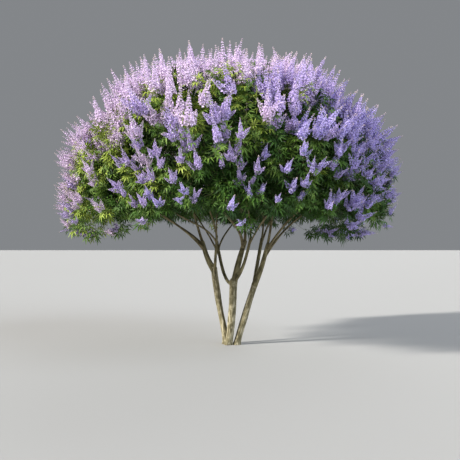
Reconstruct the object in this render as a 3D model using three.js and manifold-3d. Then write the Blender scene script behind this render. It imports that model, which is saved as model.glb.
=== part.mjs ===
// A chaste tree in full flower, grown as a small tree on three stems from one root.
// Millimetres, +Z up. The ground is z = 0, and the origin is the centre of the middle
// stem's flat cut. The front of the tree faces -Y.
//
// The crown is a dome over a flatter underside. Seventeen masses of foliage share it: an
// outer ring, an upper ring and one at the top. Each stem forks into two or three boughs,
// and each bough into limbs, one to a mass.

import * as THREE from "three";
import { mergeVertices } from "three/addons/utils/BufferGeometryUtils.js";
import Module from "manifold-3d";

const wasm = await Module();
wasm.setup();

const UP = new THREE.Vector3(0, 0, 1);
const TURN = 2 * Math.PI;
const at = (x, y, z) => new THREE.Vector3(x, y, z);

// Clearances
const JOINT_GAP = 0.3; // between a limb and what it springs from, or the mass it carries
const MASS_GAP = 14; // between neighbouring masses
const SPRAY_GAP = 12; // between a spike or twig and a limb that passes it
const HAIR = 0.03; // slivers thinner than this are smoothed away after a cut

// Facets
const STEM_DETAIL = { sides: 10, steps: 12 };
const BOUGH_DETAIL = { sides: 8, steps: 6 };
const LIMB_DETAIL = { sides: 5, steps: 5 };

// Crown and masses
const CROWN = { across: 2770, deep: 2660, waist: 2870, rise: 1790, drop: 1150 };
const DOME_POWER = 2; // the dome over the waist is an ellipsoid
const UNDERSIDE_POWER = 6; // the underside is flatter, with a rounder rim
const CROWN_ROOT = at(0, 0, 1300); // where the limbs fan out from, seen from afar

const TIERS = [
  { name: "outer", count: 10, radius: 1850, height: 2540, turn: 12, wave: 60, tries: 9 },
  { name: "upper", count: 6, radius: 1260, height: 3450, turn: 40, wave: 30, tries: 15 },
  { name: "top", count: 1, radius: 0, height: 3640, turn: 0, wave: 0, tries: 13 },
];
const MASS_SIZE = 1300; // the furthest that a mass reaches from its heart
const SEARCH_STEP = 10; // how finely the crown's surface is searched for
const RIM = 60; // a mass shows where the crown ends this near beyond its reach
const ENTRY = 600; // from a mass's heart to the place where its limb ends

// The leafy core of a mass: a faceted ball whose every face rises to a leaf's point.
// Shares are of the way out to the edge of the mass's own space: towards the open, towards
// the masses beside it, and back towards the limbs.
const CORE = { outward: 0.4, side: 0.78, inner: 0.08, lump: 0.1, detail: 3 };
const POINTS = { outward: 0.92, side: 0.98, inner: 0.2, lump: 0.14, centred: 0.35 };
const SHADED = { from: -0.7, to: 0 }; // facings between which the inner share gives way

// The stalk carries a limb on to the heart of its mass, and twigs fork off it
const STALK = { radius: 10, sides: 4 };
const TWIGS = { count: 3, fork: 0.3, spacing: 0.15, out: 260, radius: 8, sides: 3 };

// Flower spikes, each standing for a cluster of real ones, in threes
const SPIKE = {
  length: 640, // of the tall middle one, from its root in the leaves
  width: 120,
  sides: 5,
  widest: 0.55, // share of its length
  lift: 0.55, // how strongly it turns up from straight outwards
  side: { length: 0.66, width: 0.8, spread: 0.5, from: 0.08, to: 0.18 },
  rooted: 0.78, // share of the core's depth that it is rooted at
  lowest: -0.3, // slope of the lowest direction that it stands in
};
const VARIETY = 0.15; // how much one spike differs from the next in size
const SHRINKING = 0.96; // from one size tried for a spike to the next
const SMALLEST = 0.45; // a spike that would have to be smaller than this is left out
const GOLDEN_ANGLE = Math.PI * (3 - Math.sqrt(5));
const FIRST_SEED = 11;

// Stems: each leaves the ground at its foot in the direction `setsOff`, and forks at its
// head, where it points as `arrives`. It is modelled from below ground and cut at z = 0,
// where the flares of the three meet. Girth is the radius at the foot and at the head.
const BURIED = 95;
const FLARE = { swell: 0.46, height: 50 }; // root flare: share of the girth, and how high
const STEMS = {
  middle: {
    foot: at(0, 0, 0), setsOff: at(0.15, 0, 1),
    head: at(75, -10, 1020), arrives: at(0.04, 0, 1), girth: [50, 65],
  },
  left: {
    foot: at(-40, 98, 0), setsOff: at(-0.1, 0.05, 1),
    head: at(-238, 180, 1220), arrives: at(-0.07, 0.03, 1), girth: [47, 52],
  },
  right: {
    foot: at(133, 28, 0), setsOff: at(0.17, 0, 1),
    head: at(420, 10, 978), arrives: at(0.27, -0.08, 1), girth: [52, 49],
  },
};

// Boughs: `leaves` is how far up the stem a bough springs, `bend` how much flatter it sets
// off than it ends, and `carries` names its masses, the first of them on its tip and each
// other one lower down its side
const BOUGHS = {
  middle_main: {
    stem: "middle", leaves: 0.95, bend: -0.15, head: at(262, 10, 1652), girth: [51, 37],
    carries: ["top", "outer_8"],
  },
  middle_back: {
    stem: "middle", leaves: 0.955, bend: 0.8, head: at(-203, 560, 1655), girth: [29, 23],
    carries: ["upper_2", "outer_3", "outer_4"],
  },
  middle_front: {
    stem: "middle", leaves: 0.975, bend: 0.5, head: at(340, -300, 1690), girth: [29, 22],
    carries: ["upper_5", "outer_9"],
  },
  left_long: {
    stem: "left", leaves: 0.98, bend: 0.4, head: at(-440, 300, 1650), girth: [46, 34],
    carries: ["upper_3", "outer_5", "outer_6"],
  },
  left_inner: {
    stem: "left", leaves: 0.94, bend: 0.1, head: at(-190, -110, 1740), girth: [24, 19],
    carries: ["upper_4", "outer_7"],
  },
  right_outer: {
    stem: "right", leaves: 0.98, bend: 0.3, head: at(618, -150, 1600), girth: [41, 32],
    carries: ["upper_6", "outer_10", "outer_1"],
  },
  right_inner: {
    stem: "right", leaves: 0.93, bend: -0.1, head: at(546, 220, 1700), girth: [32, 25],
    carries: ["upper_1", "outer_2"],
  },
};
const LAST_LIMB = 0.97; // share of a bough below the limb that runs on from its tip
const LIMB_SPACING = 0.13; // share of a bough between the limbs that spring from it
const LIMB_GIRTH = { share: 0.66, least: 15, tip: STALK.radius }; // share of its bough's
const LIMB_PULL = 0.36; // how far a limb keeps to the direction it sets off in
const SIDEWAYS = 1.6; // how strongly a side limb turns away from its bough
const ONWARD = 0.5; // the same for the limb on the tip

// Materials

const material = (colour, roughness) =>
  new THREE.MeshStandardMaterial({ color: colour, roughness, metalness: 0 });
const MATERIALS = {
  bark: material(0xa3946f, 0.9),
  youngBark: material(0x6f6344, 0.9),
  foliage: material(0x4d7029, 0.7),
  blossom: material(0xa893cf, 0.8),
};

// A repeatable stream of numbers from 0 to 1
function seededRandom(seed) {
  const SPAN = 2 ** 32;
  let state = (seed * 2654435761) % SPAN;
  return () => {
    state = (state * 1664525 + 1013904223) % SPAN;
    return state / SPAN;
  };
}

// Solids

function solidOf(geometry) {
  const bare = new THREE.BufferGeometry();
  bare.setAttribute("position", geometry.getAttribute("position"));
  bare.setIndex(geometry.index);
  const merged = mergeVertices(bare, 1e-3);
  return new wasm.Manifold(
    new wasm.Mesh({
      numProp: 3,
      vertProperties: merged.getAttribute("position").array,
      triVerts: new Uint32Array(merged.index.array),
    }),
  );
}

// The largest connected piece of a solid. Scraps that a cut leaves loose are dropped.
function largestPiece(solid) {
  const pieces = solid.decompose();
  return pieces.reduce((best, one) => (one.volume() > best.volume() ? one : best));
}

const cutAtGround = (solid) => solid.trimByPlane([0, 0, 1], 0);

function geometryOf(solid) {
  const mesh = solid.getMesh();
  const geometry = new THREE.BufferGeometry();
  geometry.setAttribute("position", new THREE.BufferAttribute(mesh.vertProperties, 3));
  geometry.setIndex(new THREE.BufferAttribute(mesh.triVerts, 1));
  geometry.computeVertexNormals();
  return geometry;
}

// Limbs

// A taper turned about its own axis, then bent along the limb's curve. `grow` swells it
// on every side, for cutting a clearance.
function limbSolid(limb, grow = 0) {
  const { curve, sides, steps } = limb;
  const points = curve.getSpacedPoints(steps);
  const frames = curve.computeFrenetFrames(steps);
  const stations = points.map(
    (_, i) => new THREE.Vector2(limb.radiusAt(i / steps) + grow, i),
  );
  const profile = [new THREE.Vector2(0, 0), ...stations, new THREE.Vector2(0, steps)];
  const taper = new THREE.LatheGeometry(profile, sides);
  const position = taper.getAttribute("position");
  for (let v = 0; v < position.count; v += 1) {
    const station = Math.round(position.getY(v));
    const pastEnd = station === 0 ? -grow : station === steps ? grow : 0;
    const bent = points[station]
      .clone()
      .addScaledVector(frames.normals[station], position.getX(v))
      .addScaledVector(frames.binormals[station], -position.getZ(v))
      .addScaledVector(frames.tangents[station], pastEnd);
    position.setXYZ(v, bent.x, bent.y, bent.z);
  }
  return solidOf(taper);
}

function taperedLimb(name, curve, [thick, thin], detail, look) {
  const radiusAt = (share) => thick + (thin - thick) * share;
  return { name, curve, radiusAt, ...detail, look };
}

// A curve that leaves `start` along `away` and arrives at `end` along `into`
function limbCurve(start, away, end, into) {
  const pull = start.distanceTo(end) * LIMB_PULL;
  return new THREE.CubicBezierCurve3(
    start,
    start.clone().addScaledVector(away, pull),
    end.clone().addScaledVector(into, -pull),
    end,
  );
}

function growStem(name, { foot, setsOff, head, arrives, girth }) {
  const start = foot.clone().addScaledVector(setsOff, -BURIED);
  const away = setsOff.clone().normalize();
  const curve = limbCurve(start, away, head, arrives.clone().normalize());
  const stem = taperedLimb(`stem_${name}`, curve, girth, STEM_DETAIL, "bark");
  const length = curve.getLength();
  const taper = stem.radiusAt;
  stem.radiusAt = (share) => {
    const height = Math.max(0, share * length - BURIED);
    return taper(share) * (1 + FLARE.swell * Math.exp(-height / FLARE.height));
  };
  stem.rooted = true;
  return stem;
}

function growBough(name, plan, stems) {
  const stem = stems[plan.stem];
  const start = stem.curve.getPointAt(plan.leaves);
  const rise = plan.head.clone().sub(start).normalize();
  const away = rise.clone().addScaledVector(UP, -plan.bend).normalize();
  const into = rise.clone().addScaledVector(UP, plan.bend).normalize();
  const curve = limbCurve(start, away, plan.head, into);
  return taperedLimb(`bough_${name}`, curve, plan.girth, BOUGH_DETAIL, "bark");
}

// The first limb runs on from the bough's tip, and the others leave its side lower down
function growLimb(mass, bough, order) {
  const leaves = LAST_LIMB - order * LIMB_SPACING;
  const start = bough.curve.getPointAt(leaves);
  const along = bough.curve.getTangentAt(leaves);
  const outward = mass.entry.clone().sub(start).normalize();
  const away = along.addScaledVector(outward, order ? SIDEWAYS : ONWARD).normalize();
  const girth = Math.max(LIMB_GIRTH.least, bough.radiusAt(leaves) * LIMB_GIRTH.share);
  const curve = limbCurve(start, away, mass.entry, mass.outward);
  const radii = [girth, LIMB_GIRTH.tip];
  return taperedLimb(`limb_${mass.name}`, curve, radii, LIMB_DETAIL, "youngBark");
}

// Masses

function inCrown(point) {
  const out = Math.hypot(point.x / CROWN.across, point.y / CROWN.deep);
  const over = point.z > CROWN.waist;
  const up = Math.abs(point.z - CROWN.waist) / (over ? CROWN.rise : CROWN.drop);
  const power = over ? DOME_POWER : UNDERSIDE_POWER;
  return out ** power + up ** power < 1;
}

function placeMasses() {
  return TIERS.flatMap((tier) =>
    Array.from({ length: tier.count }, (_, i) => {
      const turn = THREE.MathUtils.degToRad(tier.turn + (360 / tier.count) * i);
      const lift = tier.wave * (i % 2 ? 1 : -1);
      const heart = at(
        tier.radius * Math.cos(turn),
        tier.radius * Math.sin(turn),
        tier.height + lift,
      );
      const outward = heart.clone().sub(CROWN_ROOT).normalize();
      const entry = heart.clone().addScaledVector(outward, -ENTRY);
      const name = tier.count > 1 ? `${tier.name}_${i + 1}` : tier.name;
      return { name, heart, outward, entry, tries: tier.tries };
    }),
  );
}

// How far a mass may reach from its heart in a direction: to the crown's surface, to the
// plane half way to each neighbour, or to its own size
function reach(mass, direction, masses) {
  let far = MASS_SIZE;
  for (const other of masses) {
    if (other === mass) continue;
    const apart = other.heart.clone().sub(mass.heart);
    const towards = direction.dot(apart) / apart.length();
    if (towards > 0) far = Math.min(far, (apart.length() - MASS_GAP) / 2 / towards);
  }
  const isOutside = () => !inCrown(mass.heart.clone().addScaledVector(direction, far));
  while (far > SEARCH_STEP && isOutside()) far -= SEARCH_STEP;
  return far;
}

// Whether a direction from the heart leads out to the crown's surface
function shows(mass, direction, masses) {
  const far = reach(mass, direction, masses);
  const beyond = mass.heart.clone().addScaledVector(direction, far + RIM);
  return !inCrown(beyond);
}

// The share of the reach for a direction, least on the shaded side
function shareOf(mass, direction, masses, shares) {
  if (shows(mass, direction, masses)) return shares.outward;
  const outwards = THREE.MathUtils.smoothstep(
    direction.dot(mass.outward), SHADED.from, SHADED.to,
  );
  return shares.inner + (shares.side - shares.inner) * outwards;
}

function inOwnSpace(point, mass, masses) {
  const out = point.clone().sub(mass.heart);
  const distance = out.length();
  return distance < reach(mass, out.normalize(), masses) + 1;
}

function clearOfLimbs(point, limbs) {
  return limbs.every((limb) =>
    limb.trail.every(({ spot, radius }) => spot.distanceTo(point) > radius + SPRAY_GAP),
  );
}

// A double pyramid from `root` to `tip`, rolled so that a corner lies towards `side`
function spindle(root, tip, side, width) {
  const profile = [[0, 0], [1, SPIKE.widest], [0, 1]];
  const lathe = new THREE.LatheGeometry(
    profile.map(([out, up]) => new THREE.Vector2(out, up)),
    SPIKE.sides,
  );
  const axis = tip.clone().sub(root);
  const across = side.clone().projectOnPlane(axis).setLength(width / 2);
  const facing = across.clone().cross(axis).setLength(width / 2);
  const placed = new THREE.Matrix4().makeBasis(across, axis, facing).setPosition(root);
  return lathe.applyMatrix4(placed);
}

// One tall spike with a shorter one on each side
function blossomSpray(root, outward, size, random) {
  const varied = () => 1 + VARIETY * (2 * random() - 1);
  const length = SPIKE.length * size;
  const axis = outward.clone().addScaledVector(UP, SPIKE.lift).setLength(length);
  const turn = random() * TURN;
  const side = at(Math.cos(turn), Math.sin(turn), 0).projectOnPlane(axis).normalize();
  const width = SPIKE.width * varied();
  const spikes = [spindle(root, root.clone().add(axis), side, width)];
  const { from, to, spread } = SPIKE.side;
  for (const lean of [-spread, spread]) {
    const start = root.clone().addScaledVector(axis, from + (to - from) * random());
    const end = axis
      .clone()
      .addScaledVector(side, lean * length)
      .setLength(length * SPIKE.side.length * varied())
      .add(start);
    const roll = at(random(), random(), random());
    spikes.push(spindle(start, end, roll, width * SPIKE.side.width));
  }
  return spikes;
}

function cornersOf(geometry) {
  const position = geometry.getAttribute("position");
  return Array.from({ length: position.count }, (_, i) =>
    new THREE.Vector3().fromBufferAttribute(position, i),
  );
}

// A ball whose faces each rise to a point. A point stays over its own face, as seen
// from the heart, so the surface never folds.
function massCore(mass, masses, random) {
  const ball = new THREE.OctahedronGeometry(1, CORE.detail);
  ball.deleteAttribute("normal");
  ball.deleteAttribute("uv");
  const round = mergeVertices(ball, 1e-4);
  const directions = cornersOf(round);
  const settle = (direction, shares) => {
    const lump = 1 - shares.lump * random();
    const far = reach(mass, direction, masses) * shareOf(mass, direction, masses, shares);
    return mass.heart.clone().addScaledVector(direction, far * lump);
  };
  const corners = directions.map((direction) => settle(direction, CORE));
  const faces = round.index.array;
  const index = [];
  for (let f = 0; f < faces.length; f += 3) {
    const [a, b, c] = faces.slice(f, f + 3);
    const over = new THREE.Vector3();
    for (const corner of [a, b, c])
      over.addScaledVector(directions[corner], POINTS.centred + random());
    const point = corners.length;
    corners.push(settle(over.normalize(), POINTS));
    index.push(a, b, point, b, c, point, c, a, point);
  }
  const core = new THREE.BufferGeometry().setFromPoints(corners);
  core.setIndex(index);
  return core;
}

// A straight twig from one point to another
function twigBetween(from, to, { radius, sides }) {
  const line = new THREE.LineCurve3(from, to);
  return limbSolid(taperedLimb("twig", line, [radius, radius], { sides, steps: 1 }));
}

function growMass(mass, index, masses, limbs) {
  const random = seededRandom(FIRST_SEED + index);
  const isClear = (point) =>
    inOwnSpace(point, mass, masses) && clearOfLimbs(point, limbs);
  const stays = (piece) => cornersOf(piece).every(isClear);
  const parts = [
    solidOf(massCore(mass, masses, random)),
    twigBetween(mass.entry, mass.heart, STALK),
  ];
  const level = UP.clone().cross(mass.outward);
  const side = (level.length() > 0 ? level : at(1, 0, 0)).setLength(TWIGS.out);
  const turned = random() * TURN;
  for (let i = 0; i < TWIGS.count; i += 1) {
    const turn = turned + ((i + random() / 2) / TWIGS.count) * TURN;
    const fork = mass.entry.clone().lerp(mass.heart, TWIGS.fork + TWIGS.spacing * i);
    const end = side.clone().applyAxisAngle(mass.outward, turn).add(mass.heart);
    const middle = fork.clone().lerp(end, 0.5);
    if (isClear(middle) && isClear(end))
      parts.push(twigBetween(fork, end, TWIGS));
  }
  for (let k = 0; k < mass.tries; k += 1) {
    const height = 1 - (2 * k + 1) / mass.tries;
    const out = Math.sqrt(1 - height * height);
    const turn = turned + k * GOLDEN_ANGLE;
    const direction = at(out * Math.cos(turn), out * Math.sin(turn), height);
    if (height < SPIKE.lowest || !shows(mass, direction, masses)) continue;
    const depth =
      reach(mass, direction, masses) * shareOf(mass, direction, masses, CORE);
    const root = mass.heart.clone().addScaledVector(direction, depth * SPIKE.rooted);
    for (let size = 1; size > SMALLEST; size *= SHRINKING) {
      const spray = blossomSpray(root, direction, size, random);
      if (!stays(spray[0])) continue;
      parts.push(...spray.filter(stays).map(solidOf));
      break;
    }
  }
  return wasm.Manifold.union(parts);
}

// The tree

// Spots along a limb with the radius at each, for testing what comes near it
function trailOf(limb) {
  const SPOTS = 40;
  return limb.curve.getSpacedPoints(SPOTS).map((spot, i) => ({
    spot,
    radius: limb.radiusAt(i / SPOTS),
  }));
}

const masses = placeMasses();
const massNamed = (name) => masses.find((mass) => mass.name === name);

const stems = Object.fromEntries(
  Object.entries(STEMS).map(([name, plan]) => [name, growStem(name, plan)]),
);
const boughs = Object.fromEntries(
  Object.entries(BOUGHS).map(([name, plan]) => [name, growBough(name, plan, stems)]),
);
const sideLimbs = Object.entries(BOUGHS).flatMap(([name, plan]) =>
  plan.carries.map((mass, order) => growLimb(massNamed(mass), boughs[name], order)),
);
const limbs = [...Object.values(stems), ...Object.values(boughs), ...sideLimbs];
for (const limb of limbs) limb.trail = trailOf(limb);

const tree = new THREE.Group();

function addPiece(name, solid, look) {
  const mesh = new THREE.Mesh(geometryOf(solid), MATERIALS[look]);
  mesh.name = name;
  tree.add(mesh);
}

// Each limb is cut clear of all those made before it, and each mass clear of the limbs
const swollen = [];
for (const limb of limbs) {
  const whole = limb.rooted ? cutAtGround(limbSolid(limb)) : limbSolid(limb);
  const cut = swollen.reduce((solid, other) => solid.subtract(other), whole);
  addPiece(limb.name, largestPiece(cut.simplify(HAIR)), limb.look);
  swollen.push(limbSolid(limb, JOINT_GAP));
}
masses.forEach((mass, index) => {
  const whole = growMass(mass, index, masses, limbs);
  const cut = swollen.reduce((solid, other) => solid.subtract(other), whole);
  const look = mass.name.startsWith("outer") ? "foliage" : "blossom";
  addPiece(`foliage_${mass.name}`, largestPiece(cut.simplify(HAIR)), look);
});

export default tree;
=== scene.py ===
import math

import bpy
import numpy as np
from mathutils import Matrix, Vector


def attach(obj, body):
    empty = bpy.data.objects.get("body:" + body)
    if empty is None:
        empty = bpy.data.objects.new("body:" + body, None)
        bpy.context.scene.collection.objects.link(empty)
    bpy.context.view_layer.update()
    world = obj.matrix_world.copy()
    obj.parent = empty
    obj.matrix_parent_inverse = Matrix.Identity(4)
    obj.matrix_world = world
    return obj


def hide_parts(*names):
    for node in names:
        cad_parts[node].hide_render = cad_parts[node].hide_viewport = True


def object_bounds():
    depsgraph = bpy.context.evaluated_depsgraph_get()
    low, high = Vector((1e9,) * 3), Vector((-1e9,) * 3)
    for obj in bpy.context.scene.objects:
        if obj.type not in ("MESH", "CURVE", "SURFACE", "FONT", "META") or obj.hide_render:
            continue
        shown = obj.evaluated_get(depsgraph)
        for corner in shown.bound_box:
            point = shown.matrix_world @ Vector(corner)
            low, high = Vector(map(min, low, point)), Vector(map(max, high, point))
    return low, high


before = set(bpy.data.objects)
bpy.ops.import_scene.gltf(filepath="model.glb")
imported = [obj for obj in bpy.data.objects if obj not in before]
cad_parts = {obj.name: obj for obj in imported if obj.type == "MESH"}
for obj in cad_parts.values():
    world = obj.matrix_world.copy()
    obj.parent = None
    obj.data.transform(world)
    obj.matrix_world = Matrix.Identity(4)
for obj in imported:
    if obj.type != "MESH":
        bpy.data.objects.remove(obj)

cad_box = [list(corner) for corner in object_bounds()]


# Camera
# It stands in front of the tree at eye height and tilts up a little, so that the crown
# fills the upper half of the frame and the stems stand free below it.

EYE = (0.021, -9.5, 1.55)
FOCAL_PIXELS = 589
FRAME_PIXELS = 460
TILT_PIXELS = 18
SENSOR = 36.0

scene = bpy.context.scene
camera_data = bpy.data.cameras.new("camera")
camera_data.sensor_width = SENSOR
camera_data.lens = SENSOR * FOCAL_PIXELS / FRAME_PIXELS
camera = bpy.data.objects.new("camera", camera_data)
camera.location = EYE
camera.rotation_euler = (math.pi / 2 + math.atan(TILT_PIXELS / FOCAL_PIXELS), 0, 0)
scene.collection.objects.link(camera)
scene.camera = camera


# Stems
# Three stems of solid wood rise from one root and flare a little at the ground. Two of
# them thicken again towards their forks. The bark is pale tan, thin, and furrowed.

UP = np.array([0.0, 0.0, 1.0])
TURN = 2 * math.pi
STEMS = {
    "middle": {
        "foot": (0, 0, 0), "sets_off": (0.15, 0, 1), "girth": (0.050, 0.065),
        "head": (0.075, -0.010, 1.020), "arrives": (0.04, 0, 1),
    },
    "left": {
        "foot": (-0.040, 0.098, 0), "sets_off": (-0.1, 0.05, 1), "girth": (0.047, 0.052),
        "head": (-0.238, 0.180, 1.220), "arrives": (-0.07, 0.03, 1),
    },
    "right": {
        "foot": (0.133, 0.028, 0), "sets_off": (0.17, 0, 1), "girth": (0.052, 0.049),
        "head": (0.420, 0.010, 0.978), "arrives": (0.27, -0.08, 1),
    },
}
BURIED = 0.095
FLARE = {"swell": 0.46, "height": 0.050}
LIMB_PULL = 0.36
PATH_POINTS = 201
MOSTLY_ACROSS = 0.8
STEM_RELIEF = {"sides": 56, "spacing": 0.010, "depth": 0.075}
FURROWS = {"lobes": (3, 5, 7, 8, 11), "drift": 2.5, "pace": (4, 12), "wander": 0.9, "by": 2.2}
SWELLINGS = {"lobes": (1, 2), "pace": (3, 9), "share": 0.9}
ROUND_END = {"rings": 6, "degrees": 84, "height": 0.8}
COLLAR_FADE = 1.4
FOOT_FADE = 0.05
GRAIN_SHIFT = 9
STEM_TONES = [(0.055, 0.044, 0.019), (0.148, 0.127, 0.062), (0.41, 0.365, 0.25)]
DRAWN_OUT = (38, 38, 8)
STREAKS = {"Scale": 1, "Detail": 6}
STREAK_STOPS = (0.3, 0.5, 0.68)
PATCHES = {"Scale": 15, "Detail": 3}
PATCH_STOPS = (0.52, 0.68)
PATCH_MOST = 0.55
BARK_BUMP = {"Strength": 0.6, "Distance": 0.004}
BARK_ROUGHNESS = 0.85


def unit(vectors):
    """Vectors divided by their lengths."""
    vectors = np.asarray(vectors, float)
    return vectors / np.linalg.norm(vectors, axis=-1, keepdims=True)


def length_of(path):
    """The sum of the steps between a path's points."""
    return np.linalg.norm(np.diff(path, axis=0), axis=1).sum()


def evenly(points, count):
    """Points at even steps of length along a line of points."""
    steps = np.linalg.norm(np.diff(points, axis=0), axis=1)
    gone = np.concatenate([[0], np.cumsum(steps)])
    wanted = np.linspace(0, gone[-1], count)
    return np.stack([np.interp(wanted, gone, axis) for axis in points.T], 1)


def cubic(handles, count):
    """Points on the cubic curves of four handles each: the handles weighted by
    (1-t)^3, 3t(1-t)^2, 3t^2(1-t) and t^3."""
    t = np.linspace(0, 1, count)[:, None]
    s = 1 - t
    weights = np.hstack([s**3, 3 * t * s**2, 3 * t**2 * s, t**3])
    return weights @ np.asarray(handles)


def limb_path(start, away, end, into):
    """A curve that leaves start along away and arrives at end along into. Each inner
    handle lies off its end by a fixed share of the straight distance."""
    pull = LIMB_PULL * np.linalg.norm(end - start)
    dense = cubic([start, start + pull * away, end - pull * into, end], 4 * PATH_POINTS)
    return evenly(dense, PATH_POINTS)


def swung(angle, first, second):
    """A direction swung by an angle from the first towards the second: its cosine times
    the first plus its sine times the second."""
    return np.cos(angle)[..., None] * first + np.sin(angle)[..., None] * second


def as_one(copies, faces):
    """The corners of copies of a mesh end to end, and its faces for each copy, moved up
    by the corners of the copies before."""
    shift = np.arange(len(copies))[:, None, None] * copies.shape[1]
    return copies.reshape(-1, 3), (faces + shift).reshape(-1, 3)


def tubes(paths, radii):
    """Closed tubes round paths. A ring's corner is the path's point plus its radius
    times the cosine and sine of its angle on two directions square to the path. A pole
    on the path closes each end."""
    count, rings, sides = radii.shape
    along = unit(np.gradient(paths, axis=1))
    run = unit(paths[:, -1] - paths[:, 0])
    across = np.abs(run[:, :1]) > MOSTLY_ACROSS
    aside = np.cross(run, np.where(across, [[0.0, 1.0, 0.0]], [[1.0, 0.0, 0.0]]))[:, None]
    first = unit(aside - (aside * along).sum(-1, keepdims=True) * along)
    second = np.cross(along, first)
    angle = np.arange(sides) * TURN / sides
    round_it = swung(angle, first[:, :, None], second[:, :, None])
    corners = paths[:, :, None] + radii[..., None] * round_it
    corners = corners.reshape(count, rings * sides, 3)
    corners = np.concatenate([corners, paths[:, :1], paths[:, -1:]], 1)

    j = np.arange(sides)
    k = (j + 1) % sides
    ring = np.arange(rings - 1)[:, None] * sides
    here, there = ring + j, ring + k
    walls = np.stack([here, there, there + sides, here, there + sides, here + sides], -1)
    last = (rings - 1) * sides
    bottom = np.stack([np.full(sides, rings * sides), k, j], -1)
    top = np.stack([np.full(sides, rings * sides + 1), last + j, last + k], -1)
    return as_one(corners, np.concatenate([walls.reshape(-1, 3), bottom, top]))


def furrows(length, sides, rings, depth, dice):
    """The share that bark rises or sinks at each corner of a tube: waves round it, their
    phase wandering with length, taken as a half less their size, so that they ridge up
    between narrow furrows, plus slow swellings."""
    angle = np.arange(sides)[None, :] * TURN / sides
    gone = np.linspace(0, length, rings)[:, None]
    wave = np.zeros((rings, sides))
    for lobes in FURROWS["lobes"]:
        phase, drift = dice.uniform(0, TURN), dice.normal(0, FURROWS["drift"])
        pace = dice.uniform(*FURROWS["pace"])
        wander = FURROWS["wander"] * np.sin(pace * gone + dice.uniform(0, TURN))
        wave += np.cos(lobes * angle + phase + drift * gone + wander) / FURROWS["by"]
    ridges = 0.5 - np.abs(wave)
    slow = np.zeros((rings, sides))
    for lobes in SWELLINGS["lobes"]:
        pace = dice.uniform(*SWELLINGS["pace"])
        slow += np.cos(lobes * angle + dice.uniform(0, TURN) + pace * gone)
    return depth * (ridges + SWELLINGS["share"] * slow)


def mesh_piece(name, corners, faces, material, smooth=True, grain=None):
    """A mesh object at the origin, from an array of corners and one of triangles. The
    grain, if there is one, gives each corner a place in straightened wood."""
    mesh = bpy.data.meshes.new(name)
    mesh.vertices.add(len(corners))
    mesh.vertices.foreach_set("co", np.ascontiguousarray(corners, np.float32).ravel())
    mesh.loops.add(faces.size)
    mesh.loops.foreach_set("vertex_index", np.ascontiguousarray(faces, np.int32).ravel())
    mesh.polygons.add(len(faces))
    mesh.polygons.foreach_set("loop_start", np.arange(0, faces.size, 3, dtype=np.int32))
    mesh.polygons.foreach_set("use_smooth", np.full(len(faces), smooth))
    if grain is not None:
        layer = mesh.attributes.new("grain", "FLOAT_VECTOR", "POINT")
        layer.data.foreach_set("vector", np.ascontiguousarray(grain, np.float32).ravel())
    mesh.materials.append(material)
    mesh.update(calc_edges=True)
    piece = bpy.data.objects.new(name, mesh)
    scene.collection.objects.link(piece)
    return piece


def bark_limb(path, radius, dice, sides, spacing, depth, collar=0.0, level_foot=False):
    """Corners, faces and grain of one limb: rings at even steps along its path, the
    taper's radius times one plus the furrows, a collar that fades from the start by an
    exponential, and a round end. At a level foot the rings lean over to lie flat."""
    length = length_of(path)
    rings = int(length / spacing)
    points = evenly(path, rings)
    share = np.linspace(0, 1, rings)
    radii = radius(share)
    radii = radii * (1 + collar * np.exp(-share * length / (COLLAR_FADE * radii[0])))
    bend = np.linspace(0, math.radians(ROUND_END["degrees"]), ROUND_END["rings"] + 1)[1:]
    forward = unit(points[-1] - points[-2])
    dome = points[-1] + ROUND_END["height"] * radii[-1] * np.sin(bend)[:, None] * forward
    points = np.concatenate([points, dome])
    radii = np.concatenate([radii, radii[-1] * np.cos(bend)])
    relief = furrows(length, sides, len(radii), depth, dice)
    corners, faces = tubes(points[None], (radii[:, None] * (1 + relief))[None])
    if level_foot:
        rise = unit(points[1] - points[0])
        ring = np.append(np.repeat(np.arange(len(points)), sides), [0, len(points) - 1])
        gone = np.linalg.norm(points[ring] - points[0], axis=1)
        lean = (corners[:, 2] - points[ring, 2]) * np.exp(-gone / FOOT_FADE)
        corners = corners - lean[:, None] * rise / rise[2]
    angle = np.arange(sides) * TURN / sides
    gone = np.append(np.linspace(0, length, rings), length + radii[rings:])
    around = [radii[:, None] * np.cos(angle), radii[:, None] * np.sin(angle)]
    grain = np.stack([*around, np.repeat(gone[:, None], sides, 1)], -1).reshape(-1, 3)
    ends = np.array([[0, 0, 0], [0, 0, length]])
    return corners, faces, np.concatenate([grain, ends]) + dice.uniform(0, GRAIN_SHIFT)


def nodes_of(name):
    """A new material, with its nodes, the call that links them, and its surface."""
    material = bpy.data.materials.new(name)
    material.use_nodes = True
    tree = material.node_tree
    return material, tree.nodes, tree.links.new, tree.nodes["Principled BSDF"]


def with_inputs(node, **values):
    """A node once some of its inputs are set by name."""
    for name, value in values.items():
        node.inputs[name].default_value = value
    return node


def ramp(nodes, places, colours):
    """A colour ramp with a colour at each place."""
    node = nodes.new("ShaderNodeValToRGB")
    elements = node.color_ramp.elements
    while len(elements) < len(places):
        elements.new(0.5)
    for element, place, colour in zip(elements, places, colours):
        element.position = place
        element.color = (*colour, 1)
    return node


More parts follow.
